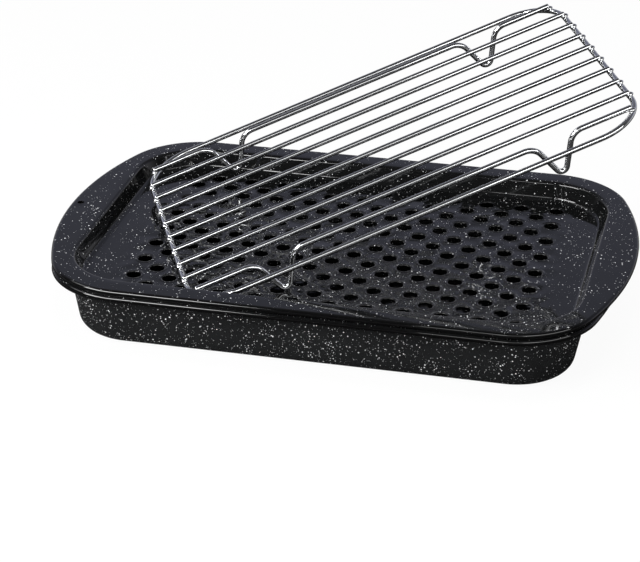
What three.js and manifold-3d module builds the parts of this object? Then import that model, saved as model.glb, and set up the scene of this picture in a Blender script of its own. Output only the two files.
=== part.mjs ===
// Roasting pan with a perforated broiling tray and a wire roasting rack.
// Millimetres, +Z up. The origin is the middle of the pan's flat bottom, and X runs along the pan.
// Pan and tray are pressed from sheet with a curled rim, and the rack is welded from round wire.

import * as THREE from 'three';
import { mergeGeometries, mergeVertices } from 'three/addons/utils/BufferGeometryUtils.js';
import Module from 'manifold-3d';

const wasm = await Module();
wasm.setup();

// Sheet metal of the pan and the tray
const SHEET = 1.2;
const CURL_RADIUS = 2.5;
const CURL_TAIL = 1;
const MOUTH_BEND = 3;
const STRAIGHT_END_RADIUS = 100000;

// Clearance where one piece rests on another
const SEAT_GAP = 0.3;

// Pan: the mouth is where the flange bends down into the wall
const PAN_HEIGHT = 51.7;
const PAN_MOUTH_LENGTH = 409;
const PAN_MOUTH_WIDTH = 275;
const PAN_MOUTH_CORNER = 55;
const PAN_RIM_LENGTH = 450;
const PAN_RIM_WIDTH = 302;
const PAN_RIM_CORNER = 66;
const PAN_RIM_END_RADIUS = 440;
const PAN_WALL_LEAN = 8.9;
const PAN_FLOOR_FILLET = 9.6;

// Tray: its ends bulge out into two handles
const TRAY_DEPTH = 14.7;
const TRAY_MOUTH_LENGTH = 402.6;
const TRAY_MOUTH_WIDTH = 266;
const TRAY_MOUTH_CORNER = 55;
const TRAY_RIM_LENGTH = 463;
const TRAY_RIM_WIDTH = 301;
const TRAY_RIM_CORNER = 67;
const TRAY_RIM_END_RADIUS = 294;
const TRAY_WALL_LEAN = 20;
const TRAY_FLOOR_FILLET = 4;

// Drain holes: rows are staggered by half a pitch from one column to the next
const HOLE_DIAMETER = 10;
const HOLE_COLUMN_PITCH = 14.5;
const HOLE_ROW_PITCH = 30;
const HOLE_END_MARGIN = 28;
const HOLE_SIDE_MARGIN = 8;
const HOLE_SHIFT = 2;
const HANG_HOLE_DIAMETER = 5.5;
const HANG_HOLE_INSET = 7.5;

// Rack: a bent frame, straight wires across it and two heavier wires with bent feet
const RACK_LENGTH = 378;
const RACK_WIDTH = 247.5;
const RACK_CORNER = 39;
const FRAME_WIRE = 4.5;
const GRID_WIRE = 4;
const GRID_WIRE_COUNT = 8;
const WIRE_OVERHANG = 0.5;
const FOOT_WIRE = 4.5;
const FOOT_WIRE_INSET = 17.6;
const FOOT_SPACING = 231;
const FOOT_DEPTH = 29;
const FOOT_LEG_ANGLE = 66;
const FOOT_TOP_BEND = 7;
const FOOT_TIP_BEND = 4.5;

// The rack leans in the tray: its low corner stands on the tray's floor by the front wall
const RACK_TURN = 27.2;
const RACK_RISE = 16.4;
const RACK_LEAN = 11.7;
const RACK_END_GAP = 18;
const RACK_FRONT_GAP = 5.8;

// Faces round a curve
const END_STEPS = 3;
const CORNER_STEPS = 8;
const FILLET_STEPS = 3;
const CURL_STEPS = 5;
const HOLE_SIDES = 8;
const WIRE_SIDES = 8;
const BEND_DIVISIONS = 3;

const radians = THREE.MathUtils.degToRad;
const lerp = THREE.MathUtils.lerp;

// Values at equal steps from one angle to another, both ends included
function angles(from, to, steps) {
  return Array.from({ length: steps + 1 }, (_, i) => lerp(from, to, i / steps));
}

// Closed surface through a row of rings with equal point counts. The rings run counterclockwise seen
// from the first ring's open side. A looped row closes on itself, and any other row gets two end caps.
function loft(rings, looped = false) {
  const size = rings[0].length;
  const points = rings.flat();
  const index = [];
  const spans = looped ? rings.length : rings.length - 1;
  for (let i = 0; i < spans; i++) {
    const near = i * size;
    const far = ((i + 1) % rings.length) * size;
    for (let j = 0; j < size; j++) {
      const next = (j + 1) % size;
      index.push(near + j, far + j, far + next);
      index.push(near + j, far + next, near + next);
    }
  }
  if (!looped) {
    const last = (rings.length - 1) * size;
    const firstMiddle = points.push(middle(rings[0])) - 1;
    const lastMiddle = points.push(middle(rings[rings.length - 1])) - 1;
    for (let j = 0; j < size; j++) {
      const next = (j + 1) % size;
      index.push(firstMiddle, j, next);
      index.push(lastMiddle, last + next, last + j);
    }
  }
  const geometry = new THREE.BufferGeometry().setFromPoints(points);
  geometry.setIndex(index);
  geometry.computeVertexNormals();
  return geometry;
}

function middle(ring) {
  const sum = ring.reduce((total, point) => total.add(point), new THREE.Vector3());
  return sum.divideScalar(ring.length);
}

// Plan outline at one height: two straight sides, two ends on a wide arc and four corner arcs,
// moved inwards by an inset. The ring starts at +X and runs counterclockwise seen from above.
function outlineRing(shape, inset, z) {
  const halfLength = shape.length / 2 - inset;
  const halfWidth = shape.width / 2 - inset;
  const endRadius = shape.endRadius - inset;
  const corner = shape.corner - inset;
  const endX = halfLength - endRadius;
  const cornerY = halfWidth - corner;
  const cornerX = endX + Math.sqrt((endRadius - corner) ** 2 - cornerY ** 2);
  const split = Math.atan2(cornerY, cornerX - endX);
  const end = angles(0, split, END_STEPS).slice(0, -1).map(
    (a) => new THREE.Vector3(endX + endRadius * Math.cos(a), endRadius * Math.sin(a), z));
  const bend = angles(split, Math.PI / 2, CORNER_STEPS).map(
    (a) => new THREE.Vector3(cornerX + corner * Math.cos(a), cornerY + corner * Math.sin(a), z));
  const right = [...end, ...bend];
  const left = right.map((p) => new THREE.Vector3(-p.x, p.y, z)).reverse();
  const back = [...right, ...left];
  const front = back.slice(1, -1).map((p) => new THREE.Vector3(-p.x, -p.y, z));
  return [...back, ...front];
}

// Pressed dish of sheet, with the top of its flange at z = 0. Going outwards, the inside face runs over
// the floor, the floor fillet, the leaning wall, the mouth bend, the flange and the curled rim.
// The outside face is the same run one sheet thickness below.
function pressedDish({ mouth, rim, depth, lean, fillet }) {
  const turn = Math.PI / 2 - radians(lean);
  const bendEnd = { inset: MOUTH_BEND * Math.sin(turn), z: MOUTH_BEND * (Math.cos(turn) - 1) };
  const filletZ = fillet - depth;
  const wallDrop = bendEnd.z - (filletZ - fillet * Math.cos(turn));
  const filletInset = bendEnd.inset + wallDrop / Math.tan(turn) + fillet * Math.sin(turn);

  function face(below) {
    const filletRadius = fillet + below;
    const bendRadius = MOUTH_BEND - below;
    const curlRadius = CURL_RADIUS - below;
    const floorRings = angles(0, turn, FILLET_STEPS).map((a) => outlineRing(
      mouth, filletInset - filletRadius * Math.sin(a), filletZ - filletRadius * Math.cos(a)));
    const mouthRings = angles(turn, 0, FILLET_STEPS).map((a) => outlineRing(
      mouth, bendRadius * Math.sin(a), bendRadius * Math.cos(a) - MOUTH_BEND));
    const curlRings = angles(0, Math.PI, CURL_STEPS).map((a) => outlineRing(
      rim, CURL_RADIUS - curlRadius * Math.sin(a), curlRadius * Math.cos(a) - CURL_RADIUS));
    const tailRing = outlineRing(rim, CURL_RADIUS + CURL_TAIL, -curlRadius - CURL_RADIUS);
    return [...floorRings, ...mouthRings, ...curlRings, tailRing];
  }

  const flatFloor = { length: mouth.length - 2 * filletInset, width: mouth.width - 2 * filletInset };
  return { geometry: loft([...face(0), ...face(SHEET).reverse()]), flatFloor };
}

// Closed geometry to solid and back, for cutting holes
function solidOf(geometry) {
  const bare = new THREE.BufferGeometry();
  bare.setAttribute('position', geometry.getAttribute('position'));
  bare.setIndex(geometry.getIndex());
  const merged = mergeVertices(bare);
  const vertProperties = new Float32Array(merged.getAttribute('position').array);
  const triVerts = new Uint32Array(merged.getIndex().array);
  return new wasm.Manifold(new wasm.Mesh({ numProp: 3, vertProperties, triVerts }));
}

function geometryOf(solid) {
  const { vertProperties, triVerts } = solid.getMesh();
  const geometry = new THREE.BufferGeometry();
  geometry.setAttribute('position', new THREE.BufferAttribute(vertProperties, 3));
  geometry.setIndex(new THREE.BufferAttribute(triVerts, 1));
  geometry.computeVertexNormals();
  return geometry;
}

// Upright plug through the tray, as long as the tray is deep and more
function plug(diameter, x, y) {
  const geometry = new THREE.CylinderGeometry(diameter / 2, diameter / 2, 4 * TRAY_DEPTH, HOLE_SIDES);
  geometry.rotateX(Math.PI / 2);
  geometry.rotateZ(Math.PI / HOLE_SIDES);
  geometry.translate(x, y, 0);
  return geometry;
}

// Staggered drain holes: as many columns and rows as the flat floor holds inside its margins.
// Every second column has one hole fewer and is shifted by half a row pitch.
function drainHoles(floor) {
  const roomX = floor.length - 2 * HOLE_END_MARGIN - HOLE_DIAMETER;
  const roomY = floor.width - 2 * HOLE_SIDE_MARGIN - HOLE_DIAMETER;
  const columns = Math.floor(roomX / HOLE_COLUMN_PITCH) + 1;
  const fullRows = Math.floor(roomY / HOLE_ROW_PITCH) + 1;
  const plugs = [];
  for (let column = 0; column < columns; column++) {
    const rows = fullRows - (column % 2);
    const x = HOLE_SHIFT + ((columns - 1) / 2 - column) * HOLE_COLUMN_PITCH;
    for (let row = 0; row < rows; row++) {
      plugs.push(plug(HOLE_DIAMETER, x, (row - (rows - 1) / 2) * HOLE_ROW_PITCH));
    }
  }
  return plugs;
}

// Round wire along a flat path in the XY plane
function bentWire(path, diameter, looped) {
  const points = path.getPoints(BEND_DIVISIONS);
  if (looped) points.pop();
  const count = points.length;
  const rings = points.map((point, i) => {
    const before = looped ? points[(i + count - 1) % count] : points[Math.max(i - 1, 0)];
    const after = looped ? points[(i + 1) % count] : points[Math.min(i + 1, count - 1)];
    const into = point.clone().sub(before).normalize();
    const out = after.clone().sub(point).normalize();
    const along = into.add(out).normalize();
    return angles(0, 2 * Math.PI, WIRE_SIDES).slice(0, -1).map((a) => {
      const side = diameter / 2 * Math.sin(a);
      const up = diameter / 2 * Math.cos(a);
      return new THREE.Vector3(point.x - side * along.y, point.y + side * along.x, up);
    });
  });
  return loft(rings, looped);
}

// Rounded rectangle, closed, counterclockwise
function framePath(halfLength, halfWidth, corner) {
  const x = halfLength - corner;
  const y = halfWidth - corner;
  const path = new THREE.Path();
  path.absarc(x, y, corner, 0, Math.PI / 2, false);
  path.absarc(-x, y, corner, Math.PI / 2, Math.PI, false);
  path.absarc(-x, -y, corner, Math.PI, 1.5 * Math.PI, false);
  path.absarc(x, -y, corner, 1.5 * Math.PI, 2 * Math.PI, false);
  path.closePath();
  return path;
}

// Straight wire with a V-shaped foot on each side of its middle: each foot turns down, runs straight,
// turns round its tip and comes back up the same way
function footPath(halfLength) {
  const leg = radians(FOOT_LEG_ANGLE);
  const bends = FOOT_TOP_BEND + FOOT_TIP_BEND;
  const legLength = (FOOT_DEPTH - bends * (1 - Math.cos(leg))) / Math.sin(leg);
  const halfSpan = bends * Math.sin(leg) + legLength * Math.cos(leg);
  const quarter = Math.PI / 2;
  const path = new THREE.Path();
  path.moveTo(-halfLength, 0);
  for (const middleX of [-FOOT_SPACING / 2, FOOT_SPACING / 2]) {
    path.lineTo(middleX - halfSpan, 0);
    path.absarc(middleX - halfSpan, -FOOT_TOP_BEND, FOOT_TOP_BEND, quarter, quarter - leg, true);
    path.absarc(middleX, FOOT_TIP_BEND - FOOT_DEPTH, FOOT_TIP_BEND, -quarter - leg, leg - quarter, false);
    path.absarc(middleX + halfSpan, -FOOT_TOP_BEND, FOOT_TOP_BEND, quarter + leg, quarter, true);
  }
  path.lineTo(halfLength, 0);
  return path;
}

// Each piece has its own material
function enamel() {
  return new THREE.MeshStandardMaterial({ color: 0x17181a, roughness: 0.16, metalness: 0 });
}

function chrome() {
  return new THREE.MeshStandardMaterial({ color: 0xd9dbdd, roughness: 0.12, metalness: 1 });
}

function piece(name, geometry, material) {
  const mesh = new THREE.Mesh(geometry, material);
  mesh.name = name;
  return mesh;
}

function makePan() {
  const { geometry } = pressedDish({
    mouth: {
      length: PAN_MOUTH_LENGTH,
      width: PAN_MOUTH_WIDTH,
      corner: PAN_MOUTH_CORNER,
      endRadius: STRAIGHT_END_RADIUS,
    },
    rim: {
      length: PAN_RIM_LENGTH,
      width: PAN_RIM_WIDTH,
      corner: PAN_RIM_CORNER,
      endRadius: PAN_RIM_END_RADIUS,
    },
    depth: PAN_HEIGHT - SHEET,
    lean: PAN_WALL_LEAN,
    fillet: PAN_FLOOR_FILLET,
  });
  const pan = piece('roasting_pan', geometry, enamel());
  pan.position.z = PAN_HEIGHT;
  return pan;
}

// The tray's curled rim rests on the pan's flange
const TRAY_TOP = PAN_HEIGHT + SEAT_GAP + 2 * CURL_RADIUS;

function makeTray() {
  const { geometry, flatFloor } = pressedDish({
    mouth: {
      length: TRAY_MOUTH_LENGTH,
      width: TRAY_MOUTH_WIDTH,
      corner: TRAY_MOUTH_CORNER,
      endRadius: STRAIGHT_END_RADIUS,
    },
    rim: {
      length: TRAY_RIM_LENGTH,
      width: TRAY_RIM_WIDTH,
      corner: TRAY_RIM_CORNER,
      endRadius: TRAY_RIM_END_RADIUS,
    },
    depth: TRAY_DEPTH,
    lean: TRAY_WALL_LEAN,
    fillet: TRAY_FLOOR_FILLET,
  });
  const hangHole = plug(HANG_HOLE_DIAMETER, HANG_HOLE_INSET - TRAY_RIM_LENGTH / 2, 0);
  const holes = mergeGeometries([...drainHoles(flatFloor), hangHole]);
  const tray = piece('broiling_tray', geometryOf(solidOf(geometry).subtract(solidOf(holes))), enamel());
  tray.position.z = TRAY_TOP;
  return tray;
}

// The rack's own frame has X along its wires and z = 0 on the straight wires' axes
function makeRack() {
  const rack = new THREE.Group();
  const halfLength = (RACK_LENGTH - FRAME_WIRE) / 2;
  const halfWidth = (RACK_WIDTH - FRAME_WIRE) / 2;
  const frameZ = -(GRID_WIRE + FRAME_WIRE) / 2 - SEAT_GAP;
  const frame = piece('rack_frame', bentWire(framePath(halfLength, halfWidth, RACK_CORNER), FRAME_WIRE, true),
    chrome());
  frame.position.z = frameZ;
  rack.add(frame);

  // Half length of the frame's centre line at a distance y from its middle
  function frameReach(y) {
    const past = Math.max(Math.abs(y) - (halfWidth - RACK_CORNER), 0);
    return halfLength - RACK_CORNER + Math.sqrt(RACK_CORNER ** 2 - past ** 2);
  }

  const footY = halfWidth - FOOT_WIRE_INSET;
  const pitch = 2 * footY / (GRID_WIRE_COUNT + 1);
  for (let i = 1; i <= GRID_WIRE_COUNT; i++) {
    const y = i * pitch - footY;
    const length = 2 * (frameReach(y) + WIRE_OVERHANG);
    const geometry = new THREE.CylinderGeometry(GRID_WIRE / 2, GRID_WIRE / 2, length, WIRE_SIDES);
    geometry.rotateZ(Math.PI / 2);
    const wire = piece(`rack_wire_${i}`, geometry, chrome());
    wire.position.y = y;
    rack.add(wire);
  }

  for (const [name, y] of [['rack_foot_wire_front', -footY], ['rack_foot_wire_back', footY]]) {
    const geometry = bentWire(footPath(frameReach(y) + WIRE_OVERHANG), FOOT_WIRE, false);
    geometry.rotateX(Math.PI / 2);
    const wire = piece(name, geometry, chrome());
    wire.position.set(0, y, frameZ + (FRAME_WIRE + FOOT_WIRE) / 2 + SEAT_GAP);
    rack.add(wire);
  }

  rack.rotation.set(radians(RACK_LEAN), -radians(RACK_RISE), radians(RACK_TURN));
  const low = new THREE.Box3().setFromObject(rack, true).min;
  rack.position.set(
    RACK_END_GAP - TRAY_MOUTH_LENGTH / 2 - low.x,
    RACK_FRONT_GAP - TRAY_MOUTH_WIDTH / 2 - low.y,
    TRAY_TOP - TRAY_DEPTH + SEAT_GAP - low.z,
  );
  return rack;
}

const roastingPanWithRack = new THREE.Group();
roastingPanWithRack.add(makePan(), makeTray(), makeRack());

export default roastingPanWithRack;
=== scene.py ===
"""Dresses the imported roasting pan, broiling tray and wire rack for the photograph's view.

The pan and the tray are pressed sheets: a profile carried round a rounded outline. The rack is round wire
carried along flat paths and laid in its leaning place. Every surface is computed with numpy, in metres, in
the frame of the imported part.
"""

import math

import bpy
import numpy as np
from bpy.props import FloatProperty, FloatVectorProperty, IntProperty, PointerProperty
from mathutils import Euler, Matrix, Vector


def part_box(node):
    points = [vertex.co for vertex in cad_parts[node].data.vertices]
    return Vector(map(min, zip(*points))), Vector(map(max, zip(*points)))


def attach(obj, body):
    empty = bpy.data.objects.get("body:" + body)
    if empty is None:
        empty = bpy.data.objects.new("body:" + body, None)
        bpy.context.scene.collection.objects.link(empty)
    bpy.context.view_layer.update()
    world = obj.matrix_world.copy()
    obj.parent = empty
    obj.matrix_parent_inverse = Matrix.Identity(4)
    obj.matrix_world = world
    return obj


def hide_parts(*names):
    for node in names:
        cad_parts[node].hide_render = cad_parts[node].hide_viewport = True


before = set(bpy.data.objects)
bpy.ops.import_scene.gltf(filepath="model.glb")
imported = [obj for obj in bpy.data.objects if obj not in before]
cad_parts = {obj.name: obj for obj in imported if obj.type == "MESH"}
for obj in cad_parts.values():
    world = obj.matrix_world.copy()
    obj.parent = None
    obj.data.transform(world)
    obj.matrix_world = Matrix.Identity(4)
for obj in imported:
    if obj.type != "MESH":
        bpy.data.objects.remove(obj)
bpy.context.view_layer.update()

bl_info = {
    "name": "Roasting pan with rack",
    "version": (1, 0, 0),
    "blender": (4, 5, 0),
    "location": "3D View > Sidebar > Roaster",
    "description": "Builds an enamelled roasting pan, its broiling tray and its wire rack",
    "category": "Add Mesh",
}

PAN_NODE = "roasting_pan"
TRAY_NODE = "broiling_tray"
FRAME_NODE = "rack_frame"
WIRE_NODES = tuple(f"rack_wire_{number}" for number in range(1, 9))
FOOT_NODES = ("rack_foot_wire_front", "rack_foot_wire_back")

PAN_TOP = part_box(PAN_NODE)[1].z
TRAY_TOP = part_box(TRAY_NODE)[1].z
MIDDLE_WIRES = [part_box(name) for name in WIRE_NODES[3:5]]
RACK_CENTRE = sum((low + high for low, high in MIDDLE_WIRES), Vector()) / (2 * len(MIDDLE_WIRES))

# Counts of steps, rings and sides of the computed surfaces
END_STEPS = 18
CORNER_STEPS = 22
FILLET_STEPS = 8
BEND_STEPS = 8
CURL_STEPS = 14
PAN_SIDE_STEPS = 36
TILE_STEPS = 4
LIP_RINGS = 6
EDGE_RINGS = 4
# Rings over which the painted shade of a curled rim fades in
PAINTED_SHADE_RINGS = 4
HANG_COLUMNS = 4
WIRE_SIDES = 20
ARC_STEPS = 24
BEAD_STEPS = 12

# A curl has one ring more than steps, and its tail is another one.
RIM_RINGS = CURL_STEPS + 2

# A mouth's ends are straight, which is an arc of a very large radius.
STRAIGHT = 100.0

# Meshes: points this close are one, edges sharper than this stay sharp, and faces that don't run along a
# wire have one place in its UV map
MERGE_GRID = 1e-6
SHARP_ANGLE = math.radians(50)
WIRE_UV = "wire"
PLAIN_UV = 0.5

# Attribute of painted shade, which blackens the enamel and thins its specks on curled rims, in holes and on
# the pan's floor under the tray, and its value on the pan's floor
PAINTED_SHADE = "bare"
FLOOR_PAINTED_SHADE = 0.85

# Rings of the flange from mouth to rim, and the two between which the hanging hole is cut
FLANGE_SHARES = (0.33, 0.66, 0.74, 0.82, 0.9, 0.975)
HANG_SHARES = (0.66, 0.975)

# Rings of the pan's floor from its middle out, and of the tray's floor from its holes to its fillet
PAN_FLOOR_SHARES = (0.02, 0.25, 0.5, 0.75)
TRAY_FLOOR_SHARES = (0.0, 0.4, 0.8)

# Share of the row pitch that the floor's outermost tiles reach past their holes
OUTER_TILE = 0.25

# Edge of a hole: rise of its bead and width of its turned-down part, both as shares of the lip,
# and how much of the sheet's thickness is rounded off
LIP_RISE = 0.03
EDGE_SHARE = 0.25
EDGE_DROP = 0.7

# Hanging hole: its lip as a share of its diameter, the corner of the cut where its rings start,
# and the depth and thickness of its drawn collar
HANG_LIP = 0.125
HANG_START = math.radians(135)
HANG_DROP = 0.0029
HANG_WALL = 0.0008

# Wire: a straight longer than the first gets a point this far inside its ends; open ends are low domes
LONG_STRAIGHT = 0.004
HOLD_DISTANCE = 0.0006
DOME_ANGLES = (80.0, 55.0, 30.0)
DOME_RISE = 0.35

# Weld beads: half sizes, steepest ring in degrees, and the number and height of the soft lobes
BEAD_SIZE = (0.003, 0.0026, 0.002)
BEAD_TILT = 88
BEAD_LOBES = 5
BEAD_SWELL = 0.07

# Noise patterns: scale, which is blobs to a metre in object space, and detail
DRIFT_NOISE = (60.0, 2.0)
STRENGTH_NOISE = (900.0, 2.0)
GROUND_NOISE = (25.0, 2.0)
GLOSS_NOISE = (130.0, 4.0)
WAVE_NOISE = (32.0, 1.0)
PEEL_NOISE = (420.0, 1.0)
RIPPLE_NOISE = (75.0, 0.0)
LINE_NOISE = (1.0, 3.0)
CLOUD_NOISE = (70.0, 2.0)
UNEVEN_NOISE = (90.0, 2.0)

# A noise's middle value, and how far most of its values lie from it
NOISE_MIDDLE = 0.5
NOISE_SPREAD = 0.2
DRIFT_SPREAD = 0.15

# Specks of three sizes: edge of the cell that holds one, smallest and largest radius. Then their soft edge
# as a share of the smallest radius, how they vary in size and strength, and their size under painted shade
SPECKS = ((0.003, 0.00032, 0.0005), (0.0022, 0.00018, 0.0003), (0.0015, 0.00009, 0.00017))
SPECK_EDGE = 0.25
SPECK_SIZES = (0.75, 1.25)
SPECK_STRENGTHS = (0.8, 1.0)
PAINTED_SHADE_SPECKS = 0.35

# Enamel: darkest and lightest ground, roughness, and depths of its unevenness in metres
GROUND_SHADES = (0.8, 1.2)
ENAMEL_GLOSS = (0.035, 0.07)
PEEL_DEPTH = 0.000006
RING_WIDTH = 0.003
RING_HEIGHT = 0.00026
RIPPLE_DEPTH = 0.0008
RIPPLE_FADE = 0.012

# Plating: lines drawn along the wire, shades, roughness, and depths of its unevenness in metres
WIRE_STRETCH = (30.0, 9.0, 1.0)
PLATING_SHADES = (0.9, 1.06)
PLATING_GLOSS = (0.08, 0.13)
DRAWN_DEPTH = 0.0000008
UNEVEN_DEPTH = 0.000003

# Stage: the table, which looks this near to white, and the dark card that mirrors see on it
TABLE_REACH = 4.0
TABLE_DROP = 0.0002
TABLE_WHITE = 0.95
CARD_REACH = 1.2
CARD_DROP = 0.0001
CARD_COLOUR = (0.02, 0.02, 0.02)
WHITE = (1.0, 1.0, 1.0)

# What mirrors see of the room: colours from the horizon up behind the object, one colour in front of it,
# and where along Y the front ends and the back starts
CEILING = (
    (0.0, (0.5, 0.5, 0.52)),
    (0.14, (0.52, 0.52, 0.57)),
    (0.34, (0.29, 0.3, 0.39)),
    (0.48, (0.204, 0.212, 0.27)),
    (0.66, (0.13, 0.13, 0.15)),
)
FRONT_COLOUR = (0.06, 0.06, 0.06)
FRONT_END = 0.1
BACK_START = 0.55

# Lamps: the setting with the power, place, aim, size, and whether it shines and whether mirrors see it
CENTRE = (0.0, 0.0, 0.05)
LAMPS = {
    "left_softbox": ("lamp_power", (-0.735, -0.9, 0.77), (-0.1, -0.1, 0.05), (0.9, 0.34), True, True),
    "right_strip": ("strip_power", (1.2, -0.85, 0.95), CENTRE, (1.7, 0.4), False, True),
    "front_strip": ("front_power", (0.02, -1.2, 0.74), CENTRE, (0.28, 0.2), False, True),
    "side_softbox": ("side_power", (-1.75, -0.5, 1.95), CENTRE, (1.9, 0.6), True, True),
    "top_softbox": ("top_power", (0.3, -0.3, 2.3), CENTRE, (1.3, 0.9), True, False),
    "camera_softbox": ("fill_power", (0.85, -2.5, 1.8), CENTRE, (2.4, 0.8), True, True),
}

CAMERA_PLACE = (0.35186, -1.55763, 0.79687)
CAMERA_TURN = (math.radians(63.782), 0.0, math.radians(13.501))
SENSOR_WIDTH = 36.0
CLIP_END = 50.0


def length(label, description, default):
    """A length in metres that the sidebar shows"""
    return FloatProperty(
        name=label, description=description, default=default, min=0.0, unit="LENGTH", precision=4
    )


def angle(label, description, degrees):
    """An angle that the sidebar shows"""
    return FloatProperty(
        name=label, description=description, default=math.radians(degrees), unit="ROTATION"
    )


def number(label, description, default):
    """A plain number that the sidebar shows"""
    return FloatProperty(name=label, description=description, default=default, min=0.0, precision=3)


def colour(label, description, default):
    """A linear colour that the sidebar shows"""
    return FloatVectorProperty(
        name=label, description=description, default=default, size=3, min=0.0, max=1.0, subtype="COLOR"
    )


class SheetSettings(bpy.types.PropertyGroup):
    """What the two pressed sheets share"""

    thickness: length("Sheet", "Thickness of the enamelled sheet", 0.0012)
    curl_radius: length("Curl", "Outer radius of the curled rim", 0.0025)
    curl_tail: length("Curl tail", "How far the sheet runs back under the rim", 0.001)
    mouth_bend: length("Mouth bend", "Radius where the wall turns into the flange", 0.003)


class PanSettings(bpy.types.PropertyGroup):
    """Sizes of the deep pan"""

    top: length("Top", "Height of the flange above the table", PAN_TOP)
    mouth_length: length("Mouth length", "Length at the mouth", 0.409)
    mouth_width: length("Mouth width", "Width at the mouth", 0.275)
    mouth_corner: length("Mouth corner", "Corner radius of the mouth", 0.055)
    rim_length: length("Rim length", "Length over the handles", 0.45)
    rim_width: length("Rim width", "Width over the rim", 0.302)
    rim_corner: length("Rim corner", "Corner radius of the rim", 0.066)
    rim_end_radius: length("Rim end radius", "Radius of the bowed ends", 0.44)
    wall_lean: angle("Wall lean", "How far the wall leans outwards", 8.9)
    floor_fillet: length("Floor fillet", "Inner radius between floor and wall", 0.0096)
    # Painted light: the pan's ground is set lighter than the tray's, though both are one enamel
    shade: number("Shade", "Level of the enamel's ground colour", 1.2)
    speck_spread: number("Speck spread", "Distance between specks against the usual one", 1.0)
    speck_size: number("Speck size", "Size of the specks against the usual one", 1.0)
    waves: length("Waves", "Depth of the slow waves in the enamel", 0.00012)


class TraySettings(bpy.types.PropertyGroup):
    """Sizes of the perforated tray"""

    top: length("Top", "Height of the flange above the table", TRAY_TOP)
    depth: length("Depth", "From the flange down to the floor", 0.0147)
    mouth_length: length("Mouth length", "Length at the mouth", 0.4026)
    mouth_width: length("Mouth width", "Width at the mouth", 0.266)
    mouth_corner: length("Mouth corner", "Corner radius of the mouth", 0.055)
    rim_length: length("Rim length", "Length over the handles", 0.463)
    rim_width: length("Rim width", "Width over the rim", 0.301)
    rim_corner: length("Rim corner", "Corner radius of the rim", 0.067)
    rim_end_radius: length("Rim end radius", "Radius of the bowed ends", 0.294)
    wall_lean: angle("Wall lean", "How far the wall leans outwards", 20.0)
    floor_fillet: length("Floor fillet", "Inner radius between floor and wall", 0.004)
    # Painted shade: the tray's ground is set darker than the pan's, though both are one enamel
    shade: number("Shade", "Level of the enamel's ground colour", 0.5)
    speck_spread: number("Speck spread", "Distance between specks against the usual one", 1.45)
    speck_size: number("Speck size", "Size of the specks against the usual one", 1.1)
    waves: length("Waves", "Depth of the slow waves in the enamel", 0.0002)
    hole_columns: IntProperty(name="Hole columns", description="Columns of drain holes", default=22)
    hole_rows: IntProperty(name="Hole rows", description="Holes in a long column", default=8)
    hole_diameter: length("Hole", "Diameter of a drain hole", 0.0112)
    hole_lip: length("Hole lip", "Width of the beaded edge of a hole", 0.0016)
    column_pitch: length("Column pitch", "From column to column", 0.0145)
    row_pitch: length("Row pitch", "From hole to hole in a column", 0.03)
    hole_shift: length("Hole shift", "How far the pattern sits off the middle", 0.002)
    hang_hole: length("Hanging hole", "Diameter of the hole in the left handle", 0.0055)
    hang_inset: length("Hanging hole inset", "From the rim to the middle of the hanging hole", 0.0075)


class RackSettings(bpy.types.PropertyGroup):
    """Sizes of the wire rack and the way it leans"""

    frame_length: length("Length", "Length over the frame", 0.378)
    frame_width: length("Width", "Width over the frame", 0.2475)
    corner: length("Corner", "Corner radius of the frame's centre line", 0.039)
    frame_wire: length("Frame wire", "Diameter of the frame's wire", 0.0045)
    grid_wire: length("Straight wire", "Diameter of the straight wires", 0.004)
    foot_wire: length("Foot wire", "Diameter of the wires with feet", 0.0045)
    gap: length("Gap", "Air between wires at a weld", 0.0003)
    overhang: length("Overhang", "How far a wire runs past the frame's centre line", 0.0005)
    foot_inset: length("Foot inset", "From the frame's long side to the foot wire", 0.0176)
    foot_spacing: length("Foot spacing", "From foot to foot", 0.231)
    foot_depth: length("Foot depth", "How far a foot reaches down", 0.029)
    leg_angle: angle("Leg angle", "Steepness of a foot's legs", 66.0)
    top_bend: length("Top bend", "Bend radius at the top of a leg", 0.013)
    tip_bend: length("Tip bend", "Bend radius at the tip of a foot", 0.0045)
    turn: angle("Turn", "Turn about the rack's own upright", 27.2)
    rise: angle("Rise", "How far the right end is raised", 16.4)
    lean: angle("Lean", "How far the back edge is raised", 11.7)


class FinishSettings(bpy.types.PropertyGroup):
    """Colours and gloss"""

    enamel: colour("Enamel", "Ground colour of the enamel", (0.009, 0.0094, 0.0097))
    # Ground colour of painted shade, used on curled rims, in the holes and on the pan's floor
    painted_shade_enamel: colour("Bare enamel", "Ground colour on curled rims and hole edges", (0.001, 0.001, 0.0011))
    speck: colour("Specks", "Colour of the specks", (0.93, 0.94, 0.95))
    enamel_ior: number("Enamel index", "Refractive index of the enamel", 1.5)
    wire: colour("Plating", "Colour of the plated wire", (0.8, 0.81, 0.82))


class StageSettings(bpy.types.PropertyGroup):
    """Floor, lamps, background and camera"""

    floor: colour("Floor", "Colour of the table", (0.92, 0.92, 0.92))
    lamp_power: number("Left lamp", "Power of the low softbox on the left in watts", 18.0)
    strip_power: number("Right strip", "Power of the strip on the right that only mirrors see in watts", 9.0)
    front_power: number("Front strip", "Power of the strip in front that only mirrors see in watts", 0.9)
    side_power: number("Side lamp", "Power of the high softbox on the left in watts", 12.0)
    top_power: number("Top lamp", "Power of the softbox overhead in watts", 22.0)
    fill_power: number("Camera lamp", "Power of the softbox above the camera in watts", 11.0)
    ambient: number("Ambient", "Level of the light from all round", 0.22)
    lens: number("Lens", "Focal length in millimetres on a 36 mm wide sensor", 123.775)


class RoasterSettings(bpy.types.PropertyGroup):
    """All settings of the roaster"""

    sheet: PointerProperty(type=SheetSettings)
    pan: PointerProperty(type=PanSettings)
    tray: PointerProperty(type=TraySettings)
    rack: PointerProperty(type=RackSettings)
    finish: PointerProperty(type=FinishSettings)
    stage: PointerProperty(type=StageSettings)


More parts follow.
